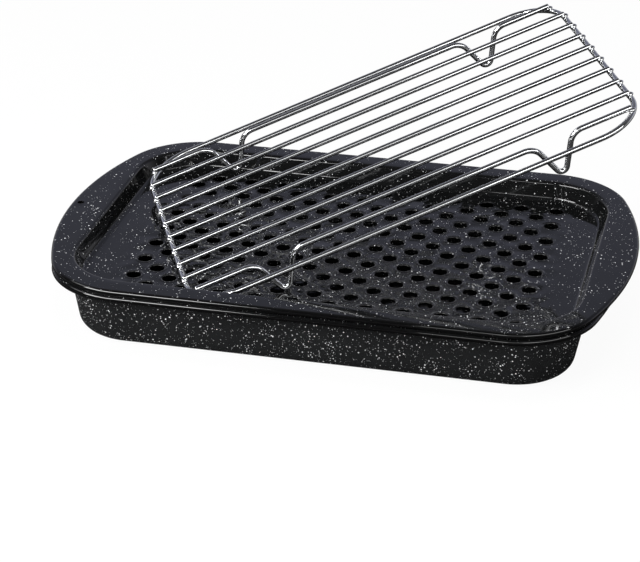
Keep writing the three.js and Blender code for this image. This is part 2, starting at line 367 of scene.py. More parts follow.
def outline(plan, inset, height, side_steps):
    """Rings of points round a plan outline, each moved inwards by its inset and set at its height.

    A quarter runs from the middle of the right end to the middle of the back side: an arc of the end's
    radius, an arc of the corner's radius tangent to it, then a straight side. Mirroring makes the rest.
    """
    plan_length, plan_width, corner, end_radius = plan
    inset = np.asarray(inset, float)[:, None]
    half_length = plan_length / 2 - inset
    half_width = plan_width / 2 - inset
    end_radius = end_radius - inset
    corner = corner - inset
    end_x = half_length - end_radius
    corner_y = half_width - corner
    corner_x = end_x + np.sqrt((end_radius - corner) ** 2 - corner_y**2)
    split = np.arctan2(corner_y, corner_x - end_x)
    on_end = split * np.linspace(0, 1, END_STEPS, endpoint=False)
    on_corner = split + (math.pi / 2 - split) * np.linspace(0, 1, CORNER_STEPS, endpoint=False)
    on_side = corner_x * np.linspace(1, 0, side_steps + 1)
    x = np.hstack([end_x + end_radius * np.cos(on_end), corner_x + corner * np.cos(on_corner), on_side])
    y = np.hstack(
        [end_radius * np.sin(on_end), corner_y + corner * np.sin(on_corner), half_width + 0 * on_side]
    )
    ring_x = np.hstack([x[:, :-1], -x[:, :0:-1], -x[:, :-1], x[:, :0:-1]])
    ring_y = np.hstack([y[:, :-1], y[:, :0:-1], -y[:, :-1], -y[:, :0:-1]])
    ring_z = np.asarray(height, float)[:, None] + 0 * ring_x
    return np.stack([ring_x, ring_y, ring_z], axis=-1)


def dish_face(sheet, shape, mouth, rim, depth, below, side_steps):
    """One face of a pressed dish as rings from the floor out to the tail of the curled rim.

    The profile is a fillet from the floor to the leaning wall, a bend from the wall to the flange, a flat
    flange that blends the mouth's outline into the rim's, and half a turn of curl with a short tail. The
    underside is the same profile a sheet's thickness below. The flange's upper face is at height 0.
    """
    turn = math.pi / 2 - shape.wall_lean
    bend = sheet.mouth_bend
    curl = sheet.curl_radius
    fillet = shape.floor_fillet
    bend_inset = bend * math.sin(turn)
    bend_z = bend * (math.cos(turn) - 1)
    fillet_z = fillet - depth
    wall_drop = bend_z - (fillet_z - fillet * math.cos(turn))
    fillet_inset = bend_inset + wall_drop / math.tan(turn) + fillet * math.sin(turn)

    on_fillet = np.linspace(0, turn, FILLET_STEPS + 1)
    on_bend = np.linspace(turn, 0, BEND_STEPS + 1)
    on_curl = np.linspace(0, math.pi, CURL_STEPS + 1)
    wall = outline(
        mouth,
        np.hstack([fillet_inset - (fillet + below) * np.sin(on_fillet), (bend - below) * np.sin(on_bend)]),
        np.hstack([fillet_z - (fillet + below) * np.cos(on_fillet), (bend - below) * np.cos(on_bend) - bend]),
        side_steps,
    )
    edge = outline(
        rim,
        np.hstack([curl - (curl - below) * np.sin(on_curl), curl + sheet.curl_tail]),
        np.hstack([(curl - below) * np.cos(on_curl) - curl, below - 2 * curl]),
        side_steps,
    )
    share = np.array(FLANGE_SHARES)[:, None, None]
    flange = (1 - share) * wall[-1] + share * edge[0]
    return np.concatenate([wall, flange, edge])


def sheet_rings(sheet, shape, depth, side_steps):
    """Rings over the whole dish: out along the upper face, round the tail and back along the underside"""
    mouth = (shape.mouth_length, shape.mouth_width, shape.mouth_corner, STRAIGHT)
    rim = (shape.rim_length, shape.rim_width, shape.rim_corner, shape.rim_end_radius)
    upper = dish_face(sheet, shape, mouth, rim, depth, 0.0, side_steps)
    under = dish_face(sheet, shape, mouth, rim, depth, sheet.thickness, side_steps)
    return np.concatenate([upper, under[::-1]])


def band_faces(rows, columns):
    """Index quads between neighbouring rings of a closed band, as an array of rows by columns by four"""
    here = np.arange(columns)
    after = (here + 1) % columns
    row = np.arange(rows - 1)[:, None] * columns
    return np.stack([row + here, row + columns + here, row + columns + after, row + after], axis=-1)


def merge_points(points, faces):
    """Joins points that lie at the same place; returns the kept points and the renumbered faces"""
    keys = np.round(points / MERGE_GRID).astype(np.int64)
    _, first, number_of = np.unique(keys, axis=0, return_index=True, return_inverse=True)
    return points[first], number_of.reshape(-1)[faces]


def new_piece(name, points, faces, body, replaced, material):
    """A smooth mesh object that rides on a body and stands for the named nodes"""
    mesh = bpy.data.meshes.new(name)
    mesh.from_pydata(points.tolist(), [], faces)
    mesh.validate()
    mesh.shade_smooth()
    mesh.set_sharp_from_angle(angle=SHARP_ANGLE)
    mesh.materials.append(material)
    piece = bpy.data.objects.new(name, mesh)
    bpy.context.scene.collection.objects.link(piece)
    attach(piece, body)
    if replaced:
        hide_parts(*replaced)
    return piece


def new_enamel(name, points, faces, body, replaced, material):
    """A piece of enamelled sheet whose points carry as fourth value how much painted shade the enamel has"""
    piece = new_piece(name, points[:, :3], faces, body, replaced, material)
    layer = piece.data.attributes.new(PAINTED_SHADE, "FLOAT", "POINT")
    layer.data.foreach_set("value", points[:, 3].astype(np.float32))


def with_painted_shade(points, bare):
    """Points as rows of four, with how much painted shade each one has"""
    flat = points.reshape(-1, 3)
    return np.hstack([flat, np.broadcast_to(bare, points.shape[:-1]).reshape(-1, 1)])


def painted_shade_rings(rows):
    """Painted shade on a sheet's rings: 0 up to the flange, rising to 1 where the rim curls down"""
    from_turn = np.abs(np.arange(rows) - (rows - 1) / 2)
    curl_start = RIM_RINGS - 0.5
    return np.clip((curl_start - from_turn) / PAINTED_SHADE_RINGS, 0, 1)[:, None]


def column_places(tray):
    """Places of the columns of drain holes, from the right end to the left one"""
    column = np.arange(tray.hole_columns)
    return tray.hole_shift + ((tray.hole_columns - 1) / 2 - column) * tray.column_pitch


def hole_centres(tray):
    """Middles of the drain holes with the reach of each hole's tile to the front and to the back.

    Long and short columns take turns, starting with a long one at the right, and a short column's holes
    lie between those of the long ones. The outermost holes of a long column have a shorter tile.
    """
    tiles = []
    for start in (0, 1):
        count = tray.hole_rows - start
        y = (np.arange(count) - (count - 1) / 2) * tray.row_pitch
        front = np.full(count, tray.row_pitch / 2)
        back = front.copy()
        if start == 0:
            front[0] = OUTER_TILE * tray.row_pitch
            back[-1] = OUTER_TILE * tray.row_pitch
        x = column_places(tray)[start::2]
        grid = np.meshgrid(x, y, indexing="ij")
        places = [grid[0].ravel(), grid[1].ravel()]
        tiles.append(np.stack([*places, np.tile(front, len(x)), np.tile(back, len(x))]))
    return np.hstack(tiles).T


def tile_border():
    """Points round the border of a square of half size 1, anticlockwise from the middle of its right side"""
    step = np.arange(TILE_STEPS) / TILE_STEPS
    one = np.ones(TILE_STEPS)
    x = np.hstack([one, 1 - 2 * step, -one, -one, 2 * step - 1, one])
    y = np.hstack([step, one, 1 - step, -step, -one, step - 1])
    return x, y


def rounded_edge(radius, lip, thickness):
    """Radii and heights from the flat round a hole, over the enamel's bead and down to the underside.

    The bead rises and falls again as one half wave of a sine squared, and the sheet's edge then turns down
    into the hole on a quarter of an ellipse.
    """
    across = np.linspace(0, 1, LIP_RINGS, endpoint=False)
    turn = np.linspace(0, math.pi / 2, EDGE_RINGS)
    edge = lip * EDGE_SHARE
    radii = np.hstack([radius + lip - (lip - edge) * across, radius + edge * (1 - np.sin(turn)), radius])
    bead = lip * LIP_RISE * np.sin(math.pi * across) ** 2
    heights = np.hstack([bead, -EDGE_DROP * thickness * (1 - np.cos(turn)), -thickness])
    return radii, heights


def drain_tiles(tray, thickness):
    """Floor of the tray round every hole: from the tile's border in to the edge, down and out again"""
    tiles = hole_centres(tray)
    unit_x, unit_y = tile_border()
    count = len(unit_x)
    reach = np.where(unit_y > 0, tiles[:, 3:4], tiles[:, 2:3])
    border = np.stack([unit_x * tray.column_pitch / 2 + 0 * reach, unit_y * reach], axis=-1)
    radii, heights = rounded_edge(tray.hole_diameter / 2, tray.hole_lip, thickness)
    turn = 2 * math.pi * np.arange(count) / count
    circle = np.stack([np.cos(turn), np.sin(turn)], axis=-1)
    rounds = radii[:, None, None] * circle + np.zeros((len(tiles), 1, 1, 1))
    flat = np.concatenate([border[:, None], rounds, border[:, None]], axis=1) + tiles[:, None, None, :2]
    level = np.hstack([0, heights, -thickness])[None, :, None, None] + 0 * flat[..., :1]
    points = np.concatenate([flat, level], axis=-1)
    # Painted shade: none on the flat and the bead, rising to full down into the hole and under it
    bare = np.hstack([np.zeros(LIP_RINGS + 1), np.linspace(0, 1, EDGE_RINGS), 1, 0])
    rows = points.shape[1]
    faces = band_faces(rows, count)[:, :, ::-1].reshape(-1, 4)
    starts = np.arange(len(tiles))[:, None, None] * rows * count
    return with_painted_shade(points, bare[None, :, None]), (starts + faces).reshape(-1, 4)


def plain_tiles(tray, thickness):
    """Plain floor at both ends of the short columns, above and below"""
    middle = column_places(tray)[1::2]
    step = np.linspace(0, 1, TILE_STEPS + 1)
    x = middle[:, None] + (step - 0.5) * tray.column_pitch
    start = (tray.hole_rows - 1) / 2 * tray.row_pitch
    end = OUTER_TILE * tray.row_pitch
    y = np.stack([-start - (1 - step) * end, start + step * end])
    z = np.array([0.0, -thickness])
    grid = np.broadcast_arrays(
        x[:, None, None, :, None], y[None, :, None, None, :], z[None, None, :, None, None]
    )
    points = np.stack(grid, axis=-1).reshape(-1, 3)
    across = TILE_STEPS + 1
    corner = (np.arange(TILE_STEPS)[:, None] * across + np.arange(TILE_STEPS)).ravel()
    above = np.stack([corner, corner + across, corner + across + 1, corner + 1], axis=-1)
    patch = np.concatenate([above, above[:, ::-1] + across**2])
    starts = np.arange(len(middle) * 2)[:, None, None] * 2 * across**2
    return points, (starts + patch).reshape(-1, 4)


def lattice_ring(tray, height):
    """The border of all tiles together, point for point in the order of the outline's rings"""
    half_x = tray.hole_columns * tray.column_pitch / 2
    holes_y = (tray.hole_rows - 1) / 2 * tray.row_pitch
    edge_y = OUTER_TILE * tray.row_pitch
    inner = np.linspace(0, holes_y, TILE_STEPS * (tray.hole_rows - 1) + 1)
    outer = holes_y + np.linspace(0, edge_y, TILE_STEPS + 1)[1:]
    up = np.hstack([inner, outer])
    along = np.linspace(half_x, -half_x, TILE_STEPS * tray.hole_columns + 1)
    top = holes_y + edge_y
    x = np.hstack(
        [0 * up[:-1] + half_x, along[:-1], 0 * up[:0:-1] - half_x, 0 * up[:-1] - half_x, along[:0:-1]]
    )
    x = np.hstack([x, 0 * up[:0:-1] + half_x])
    y = np.hstack([up[:-1], 0 * along[:-1] + top, up[:0:-1], -up[:-1], 0 * along[:-1] - top, -up[:0:-1]])
    return np.stack([x + tray.hole_shift, y, np.full(len(x), height)], axis=-1)


def hang_hole(tray, rings, thickness):
    """Cuts the hanging hole into the left handle.

    The flange's quads over a small patch are left out on both faces, and a band of rings runs from the
    patch's border in to the hole's rounded edge, down its drawn collar, up again outside the collar and
    out to the border below. Returns the quads of the whole sheet and the new points, which are numbered
    after the sheet's own.
    """
    rows, columns, _ = rings.shape
    faces = band_faces(rows, columns)
    flange_start = rows // 2 - (len(FLANGE_SHARES) + RIM_RINGS)
    inner = flange_start + FLANGE_SHARES.index(HANG_SHARES[0])
    outer = flange_start + FLANGE_SHARES.index(HANG_SHARES[1])
    left = columns // 2
    first = left - HANG_COLUMNS // 2
    last = left + HANG_COLUMNS // 2
    cut = np.zeros(faces.shape[:2], bool)
    cut[inner:outer, first:last] = True
    cut[rows - 1 - outer : rows - 1 - inner, first:last] = True

    ring = np.arange(inner, outer)
    column = np.arange(first, last)
    border_row = np.hstack([0 * column + outer, ring[::-1] + 1, 0 * column + inner, ring])
    border_column = np.hstack([column, 0 * ring + last, column[::-1] + 1, 0 * ring + first])
    upper = border_row * columns + border_column
    under = (rows - 1 - border_row) * columns + border_column

    radius = tray.hang_hole / 2
    radii, heights = rounded_edge(radius, HANG_LIP * tray.hang_hole, thickness)
    outside = radius + HANG_WALL
    radii = np.hstack([radii, outside, outside])
    heights = np.hstack([heights[:-1], -HANG_DROP, -HANG_DROP, -thickness])
    count = len(upper)
    turn = HANG_START + 2 * math.pi * np.arange(count) / count
    x = tray.hang_inset - tray.rim_length / 2 + radii[:, None] * np.cos(turn)
    y = radii[:, None] * np.sin(turn)
    points = np.stack([x, y, heights[:, None] + 0 * x], axis=-1).reshape(-1, 3)
    new_numbers = rows * columns + np.arange(len(points)).reshape(len(radii), count)
    numbers = np.concatenate([upper[None], new_numbers, under[None]])
    band = band_faces(len(numbers), count)[:, :, ::-1].reshape(-1, 4)
    return np.concatenate([faces[~cut], numbers.reshape(-1)[band]]), points


def add_node(tree, kind, inputs, **options):
    """A shader node with its options set and its inputs given values or linked to sockets"""
    made = tree.nodes.new(kind)
    for key, value in options.items():
        setattr(made, key, value)
    for key, value in inputs.items():
        if isinstance(value, bpy.types.NodeSocket):
            tree.links.new(value, made.inputs[key])
        else:
            made.inputs[key].default_value = value
    return made


def calculate(tree, operation, first, second, clamped=False):
    """The result of a Math node"""
    return add_node(
        tree, "ShaderNodeMath", {0: first, 1: second}, operation=operation, use_clamp=clamped
    ).outputs[0]


def any_of(tree, *sockets):
    """The largest of the sockets, which for masks is 1 where any of them is 1"""
    joined = sockets[0]
    for socket in sockets[1:]:
        joined = calculate(tree, "MAXIMUM", joined, socket)
    return joined


def noise(tree, place, pattern):
    """Smooth noise from 0 to 1 in one of the patterns"""
    inputs = {"Vector": place, "Scale": pattern[0], "Detail": pattern[1]}
    return add_node(tree, "ShaderNodeTexNoise", inputs).outputs["Fac"]


def remap(tree, value, low, high, to_low, to_high):
    """Maps a range of a value to another range"""
    inputs = {"Value": value, 1: low, 2: high, 3: to_low, 4: to_high}
    return add_node(tree, "ShaderNodeMapRange", inputs).outputs[0]


def vary(tree, value, limits, spread=NOISE_SPREAD):
    """Maps the usual range of a noise to two limits"""
    return remap(tree, value, NOISE_MIDDLE - spread, NOISE_MIDDLE + spread, *limits)


def opaque(shade, level=1.0):
    """A linear colour at a level, with alpha"""
    return (*[min(level * part, 1.0) for part in shade], 1.0)


def mix_colours(tree, share, first, second):
    """Blend of two colours, which a colour mix has at its inputs 6 and 7, with the result at output 2"""
    inputs = {0: share, 6: first, 7: second}
    return add_node(tree, "ShaderNodeMix", inputs, data_type="RGBA").outputs[2]


def bump(tree, height, depth, normal=None):
    """Bumps in which a step of 1 in the height is a depth in metres"""
    inputs = {"Strength": 1.0, "Distance": depth, "Height": height}
    if normal is not None:
        inputs["Normal"] = normal
    return add_node(tree, "ShaderNodeBump", inputs).outputs[0]


def speck_layer(tree, place, crowding, cell, smallest, largest):
    """Mask of round specks, one in each cell of a 3D pattern, where its ball cuts the surface"""
    cells = add_node(tree, "ShaderNodeTexVoronoi", {"Vector": place, "Scale": 1 / cell})
    parts = add_node(tree, "ShaderNodeSeparateColor", {0: cells.outputs["Color"]})
    distance = calculate(tree, "MULTIPLY", cells.outputs["Distance"], cell)
    size = remap(tree, parts.outputs[0], 0.0, 1.0, smallest, largest)
    radius = calculate(tree, "MULTIPLY", size, crowding)
    inside = calculate(tree, "SUBTRACT", radius, distance)
    return calculate(tree, "DIVIDE", inside, SPECK_EDGE * smallest, clamped=True)


def from_lattice(tree, x, y, start_x, start_y, tray):
    """Distance from the nearest point of a lattice two columns by one row wide"""
    offsets = []
    for value, start, half in ((x, start_x, tray.column_pitch), (y, start_y, tray.row_pitch / 2)):
        moved = calculate(tree, "SUBTRACT", value, start)
        inputs = {0: moved, 1: half, 2: -half}
        offsets.append(add_node(tree, "ShaderNodeMath", inputs, operation="WRAP").outputs[0])
    flat = add_node(tree, "ShaderNodeCombineXYZ", {0: offsets[0], 1: offsets[1]}).outputs[0]
    return add_node(tree, "ShaderNodeVectorMath", {0: flat}, operation="LENGTH").outputs["Value"]


def hole_rings(tree, parts, tray):
    """A soft ring round every drain hole: one wave of a sine squared, from the hole's edge outwards"""
    radius = tray.hole_diameter / 2
    places = column_places(tray)
    lattices = (
        (places[0], tray.row_pitch / 2, "GREATER_THAN", places[-1]),
        (places[1], 0.0, "LESS_THAN", places[0]),
    )
    rings = []
    for start_x, start_y, side, limit in lattices:
        distance = from_lattice(tree, parts["X"], parts["Y"], start_x, start_y, tray)
        turn = remap(tree, distance, radius, radius + RING_WIDTH, 0.0, math.pi)
        wave = calculate(tree, "SINE", turn, 0.0)
        ring = calculate(tree, "MULTIPLY", wave, wave)
        rings.append(calculate(tree, "MULTIPLY", ring, calculate(tree, side, parts["X"], limit)))
    return any_of(tree, *rings)


def hole_field(tree, parts, tray, fade):
    """1 over the tray's holes, falling to 0 over a distance past them"""
    half_x = tray.hole_columns * tray.column_pitch / 2
    half_y = ((tray.hole_rows - 1) / 2 + OUTER_TILE) * tray.row_pitch
    centred = calculate(tree, "SUBTRACT", parts["X"], tray.hole_shift)
    across = calculate(tree, "ABSOLUTE", centred, 0.0)
    along = calculate(tree, "ABSOLUTE", parts["Y"], 0.0)
    inside_x = remap(tree, across, half_x, half_x + fade, 1.0, 0.0)
    inside_y = remap(tree, along, half_y, half_y + fade, 1.0, 0.0)
    return calculate(tree, "MULTIPLY", inside_x, inside_y)


def floor_bumps(tree, place, tray, normal):
    """Uneven enamel between the drain holes: a soft ring round each hole, and ripples all over"""
    parts = add_node(tree, "ShaderNodeSeparateXYZ", {0: place}).outputs
    near_holes = hole_field(tree, parts, tray, RING_WIDTH)
    rings = calculate(tree, "MULTIPLY", hole_rings(tree, parts, tray), near_holes)
    ripple = calculate(tree, "SUBTRACT", noise(tree, place, RIPPLE_NOISE), NOISE_MIDDLE)
    ripples = calculate(tree, "MULTIPLY", ripple, hole_field(tree, parts, tray, RIPPLE_FADE))
    return bump(tree, ripples, RIPPLE_DEPTH, bump(tree, rings, RING_HEIGHT, normal))


def new_material(name):
    """A new material and its nodes"""
    material = bpy.data.materials.new(name)
    material.use_nodes = True
    return material, material.node_tree


def set_surface(tree, paint, gloss, normal):
    """Links colour, roughness and normal to the material's shader, and returns the shader's inputs"""
    inputs = tree.nodes["Principled BSDF"].inputs
    for name, socket in (("Base Color", paint), ("Roughness", gloss), ("Normal", normal)):
        tree.links.new(socket, inputs[name])
    return inputs


def enamel_material(name, finish, shape, perforated):
    """Glossy near-black enamel: three sizes of white specks in drifts, slow waves and a faint orange peel.

    The painted shade attribute marks curled rims, the holes and the pan's floor, where the enamel is painted
    blacker and has few specks. Perforated enamel is also uneven round its drain holes.
    """
    material, tree = new_material(name)
    place = add_node(tree, "ShaderNodeTexCoord", {}).outputs["Object"]
    bare = add_node(tree, "ShaderNodeAttribute", {}, attribute_name=PAINTED_SHADE).outputs["Fac"]

    sizes = [shape.speck_size * size for size in SPECK_SIZES]
    drift = vary(tree, noise(tree, place, DRIFT_NOISE), sizes, DRIFT_SPREAD)
    # Fewer, smaller specks where shade is painted
    crowding = calculate(tree, "MULTIPLY", drift, remap(tree, bare, 0.0, 1.0, 1.0, PAINTED_SHADE_SPECKS))
    layers = [
        speck_layer(tree, place, crowding, cell * shape.speck_spread, smallest, largest)
        for cell, smallest, largest in SPECKS
    ]
    strength = vary(tree, noise(tree, place, STRENGTH_NOISE), SPECK_STRENGTHS)
    specks = calculate(tree, "MULTIPLY", any_of(tree, *layers), strength)

    # The piece's shade paints light or shade into its ground: lighter on the pan, darker on the tray
    shades = [opaque(finish.enamel, level * shape.shade) for level in GROUND_SHADES]
    ground = mix_colours(tree, noise(tree, place, GROUND_NOISE), *shades)
    # Painted shade: the ground turns blacker where the attribute is set
    ground = mix_colours(tree, bare, ground, opaque(finish.painted_shade_enamel))
    paint = mix_colours(tree, specks, ground, opaque(finish.speck))
    gloss = vary(tree, noise(tree, place, GLOSS_NOISE), ENAMEL_GLOSS)
    normal = bump(tree, noise(tree, place, WAVE_NOISE), shape.waves)
    if perforated:
        normal = floor_bumps(tree, place, shape, normal)
    peel = bump(tree, noise(tree, place, PEEL_NOISE), PEEL_DEPTH, normal)
    inputs = set_surface(tree, paint, gloss, peel)
    inputs["IOR"].default_value = finish.enamel_ior
    return material


def chrome_material(name, finish):
    """Bright plated wire: faint lines drawn along it, slightly uneven gloss and shade"""
    material, tree = new_material(name)
    along = add_node(tree, "ShaderNodeUVMap", {}, uv_map=WIRE_UV).outputs[0]
    stretched = add_node(tree, "ShaderNodeMapping", {"Vector": along, "Scale": WIRE_STRETCH}).outputs[0]
    place = add_node(tree, "ShaderNodeTexCoord", {}).outputs["Object"]

    lines = noise(tree, stretched, LINE_NOISE)
    shades = [opaque(finish.wire, level) for level in PLATING_SHADES]
    paint = mix_colours(tree, noise(tree, place, CLOUD_NOISE), *shades)
    gloss = vary(tree, lines, PLATING_GLOSS)
    drawn = bump(tree, lines, DRAWN_DEPTH)
    uneven = bump(tree, noise(tree, place, UNEVEN_NOISE), UNEVEN_DEPTH, drawn)
    inputs = set_surface(tree, paint, gloss, uneven)
    inputs["Metallic"].default_value = 1.0
    return material


def rack_turn(rack):
    """The leaning rack's rotation: turned about its upright, then raised at the right end and at the back"""
    turn = Euler((0, 0, rack.turn)).to_matrix()
    rise = Euler((0, -rack.rise, 0)).to_matrix()
    lean = Euler((rack.lean, 0, 0)).to_matrix()
    return np.array(lean @ rise @ turn)


def rack_place(rack, points):
    """Points of the level rack, taken to the leaning rack's place"""
    return points @ rack_turn(rack).T + np.array(RACK_CENTRE)


def frame_reach(rack, y):
    """Half length of the frame's centre line at a distance y from the rack's middle"""
    half_length = (rack.frame_length - rack.frame_wire) / 2
    straight = (rack.frame_width - rack.frame_wire) / 2 - rack.corner
    past = np.maximum(np.abs(y) - straight, 0)
    return half_length - rack.corner + np.sqrt(rack.corner**2 - past**2)


def foot_rows(rack):
    """Distance of the two foot wires from the rack's middle"""
    return (rack.frame_width - rack.frame_wire) / 2 - rack.foot_inset


def wire_rows(rack):
    """Places of the straight wires between the foot wires, evenly spaced"""
    foot = foot_rows(rack)
    return np.linspace(-foot, foot, len(WIRE_NODES) + 2)[1:-1]


def frame_height(rack):
    """Height of the frame's centre line below the straight wires' one"""
    return -(rack.grid_wire + rack.frame_wire) / 2 - rack.gap


def arc(centre_x, centre_y, radius, start, end, steps):
    """Points and directions of travel along an arc"""
    turn = np.linspace(start, end, steps + 1)
    way = math.copysign(1.0, end - start)
    points = np.stack([centre_x + radius * np.cos(turn), centre_y + radius * np.sin(turn)], axis=-1)
    travel = np.stack([-way * np.sin(turn), way * np.cos(turn)], axis=-1)
    return points, travel


def join(parts):
    """One path out of pieces of points and directions"""
    return np.concatenate([part[0] for part in parts]), np.concatenate([part[1] for part in parts])


def hold_straights(points, travel, closed):
    """Adds a point just inside both ends of every long straight, which keeps its shading even"""
    if closed:
        points = np.concatenate([points, points[:1]])
        travel = np.concatenate([travel, travel[:1]])
    gaps = np.linalg.norm(np.diff(points, axis=0), axis=1)
    reached = np.hstack([0, np.cumsum(gaps)])
    straight = gaps > LONG_STRAIGHT
    held = [reached[:-1][straight] + HOLD_DISTANCE, reached[1:][straight] - HOLD_DISTANCE]
    stops = np.sort(np.hstack([reached, *held]))
    if closed:
        stops = stops[:-1]
    columns = np.hstack([points, travel]).T
    placed = np.stack([np.interp(stops, reached, column) for column in columns], axis=-1)
    return placed[:, :2], placed[:, 2:]


def tube(points, travel, radius, closed):
    """Round wire along a flat path in the XY plane.

    Each ring stands square to the path: its radius times cosine to the side and sine upwards. The open
    ends are low domes of shrinking rings, each closed by one face. Returns points, faces and a UV pair
    for each face corner, the length along the wire and the share of a turn round it.
    """
    points, travel = hold_straights(points, travel, closed)
    girth = np.ones(len(points))
    if not closed:
        dome = np.radians(DOME_ANGLES)
        reach = DOME_RISE * radius * np.sin(dome)[:, None]
        start = points[:1] - reach * travel[:1]
        end = points[-1:] + reach[::-1] * travel[-1:]
        points = np.concatenate([start, points, end])
        travel = np.concatenate([travel[:1].repeat(len(dome), 0), travel, travel[-1:].repeat(len(dome), 0)])
        girth = np.hstack([np.cos(dome), girth, np.cos(dome)[::-1]])
    turn = 2 * math.pi * np.arange(WIRE_SIDES) / WIRE_SIDES
    side = np.stack([-travel[:, 1], travel[:, 0]], axis=-1)
    flat = points[:, None] + (radius * girth)[:, None, None] * np.cos(turn)[:, None] * side[:, None]
    up = radius * girth[:, None] * np.sin(turn)
    rings = np.concatenate([flat, up[..., None]], axis=-1)

    count = len(points)
    gaps = np.linalg.norm(np.diff(points, axis=0, append=points[:1]), axis=1)
    reached = np.hstack([0, np.cumsum(gaps)])
    band = band_faces(count + 1, WIRE_SIDES).reshape(-1, 4)
    if not closed:
        band = band[: (count - 1) * WIRE_SIDES]
    rows = np.repeat(np.arange(len(band) // WIRE_SIDES), WIRE_SIDES)
    columns = np.tile(np.arange(WIRE_SIDES), len(band) // WIRE_SIDES)
    along = np.stack([reached[rows], reached[rows + 1], reached[rows + 1], reached[rows]], axis=-1)
    around = np.stack([columns, columns, columns + 1, columns + 1], axis=-1) / WIRE_SIDES
    uv = np.stack([along, around], axis=-1).reshape(-1, 2)
    faces = (band % (count * WIRE_SIDES))[:, ::-1].tolist()
    uv = uv.reshape(-1, 4, 2)[:, ::-1].reshape(-1, 2)
    if not closed:
        ends = [np.arange(WIRE_SIDES), (count - 1) * WIRE_SIDES + np.arange(WIRE_SIDES)[::-1]]
        faces += [end.tolist() for end in ends]
        uv = np.concatenate([uv, np.full((2 * WIRE_SIDES, 2), PLAIN_UV)])
    return rings.reshape(-1, 3), faces, uv


def new_wire(name, points, faces, uv, replaced, material):
    """A piece of the rack with its lengthwise UV map"""
    piece = new_piece(name, points, faces, "rack", replaced, material)
    layer = piece.data.uv_layers.new(name=WIRE_UV)
    layer.data.foreach_set("uv", uv.astype(np.float32).ravel())
    return piece


class ROASTER_OT_pan(bpy.types.Operator):
    """Builds the deep enamelled pan"""

    bl_idname = "roaster.pan"
    bl_label = "Build pan"

    def execute(self, context):
        settings = context.scene.roaster
        pan = settings.pan
        rings = sheet_rings(settings.sheet, pan, pan.top - settings.sheet.thickness, PAN_SIDE_STEPS)
        shrink = np.array(PAN_FLOOR_SHARES)[:, None, None]
        middle = np.array([1.0, 1.0, 0.0])
        flat = np.array([0.0, 0.0, 1.0])
        floor = rings[:1] * (shrink * middle + flat)
        base = rings[-1:] * (shrink[::-1] * middle + flat)
        rings = np.concatenate([floor, rings, base])
        rows, columns, _ = rings.shape
        faces = band_faces(rows, columns).reshape(-1, 4).tolist()
        faces.append(list(range(columns)))
        faces.append(list(range(rows * columns - 1, (rows - 1) * columns - 1, -1)))
        # Painted shade on the curled rim, and most of it on the floor that lies in shade under the tray
        bare = painted_shade_rings(rows)
        bare[: len(shrink) + FILLET_STEPS // 2] = FLOOR_PAINTED_SHADE
        points = with_painted_shade(rings + np.array([0.0, 0.0, pan.top]), bare)
        material = enamel_material("pan_enamel", settings.finish, pan, False)
        new_enamel("enamel_pan", points, faces, "pan", [PAN_NODE], material)
        return {"FINISHED"}


class ROASTER_OT_tray(bpy.types.Operator):
    """Builds the perforated broiling tray"""

    bl_idname = "roaster.tray"
    bl_label = "Build tray"

    def execute(self, context):
        settings = context.scene.roaster
        tray = settings.tray
        thickness = settings.sheet.thickness
        quarter = TILE_STEPS * (tray.hole_rows + tray.hole_columns // 2)
        rings = sheet_rings(settings.sheet, tray, tray.depth, quarter - END_STEPS - CORNER_STEPS)
        floor = rings[0, 0, 2]
        above = lattice_ring(tray, floor)
        below = lattice_ring(tray, floor - thickness)
        share = np.array(TRAY_FLOOR_SHARES)[:, None, None]
        inner = (1 - share) * above + share * rings[0]
        outer = (1 - share[::-1]) * below + share[::-1] * rings[-1]
        rings = np.concatenate([inner, rings, outer])
        sheet_faces, hole_points = hang_hole(tray, rings, thickness)
        lift = np.array([0.0, 0.0, floor, 0.0])
        tile_points, tile_faces = drain_tiles(tray, thickness)
        plain_points, plain_faces = plain_tiles(tray, thickness)

        # Painted shade on the curled rim and all over the hanging hole
        sheet_points = with_painted_shade(rings, painted_shade_rings(len(rings)))
        hole_points = with_painted_shade(hole_points, 1.0)
        plain_points = with_painted_shade(plain_points, 0.0)
        points = [sheet_points, hole_points, tile_points + lift, plain_points + lift]
        starts = np.cumsum([0] + [len(part) for part in points])
        faces = [sheet_faces, tile_faces + starts[2], plain_faces + starts[3]]
        points, faces = merge_points(np.concatenate(points), np.concatenate(faces))
        points = points + np.array([0.0, 0.0, tray.top, 0.0])
        material = enamel_material("tray_enamel", settings.finish, tray, True)
        new_enamel("enamel_tray", points, faces.tolist(), "tray", [TRAY_NODE], material)
        return {"FINISHED"}


class ROASTER_OT_rack_frame(bpy.types.Operator):
    """Builds the rack's closed frame wire"""

    bl_idname = "roaster.rack_frame"
    bl_label = "Build rack frame"

    def execute(self, context):
        settings = context.scene.roaster
        rack = settings.rack
        x = (rack.frame_length - rack.frame_wire) / 2 - rack.corner
        y = (rack.frame_width - rack.frame_wire) / 2 - rack.corner
        quarter = math.pi / 2
        corners = [(x, y), (-x, y), (-x, -y), (x, -y)]
        path = join(
            [
                arc(*corner, rack.corner, place * quarter, (place + 1) * quarter, ARC_STEPS)
                for place, corner in enumerate(corners)
            ]
        )
        points, faces, uv = tube(*path, rack.frame_wire / 2, True)
        points = rack_place(rack, points + np.array([0.0, 0.0, frame_height(rack)]))
        material = chrome_material("frame_plating", settings.finish)
        new_wire("rack_frame_wire", points, faces, uv, [FRAME_NODE], material)
        return {"FINISHED"}


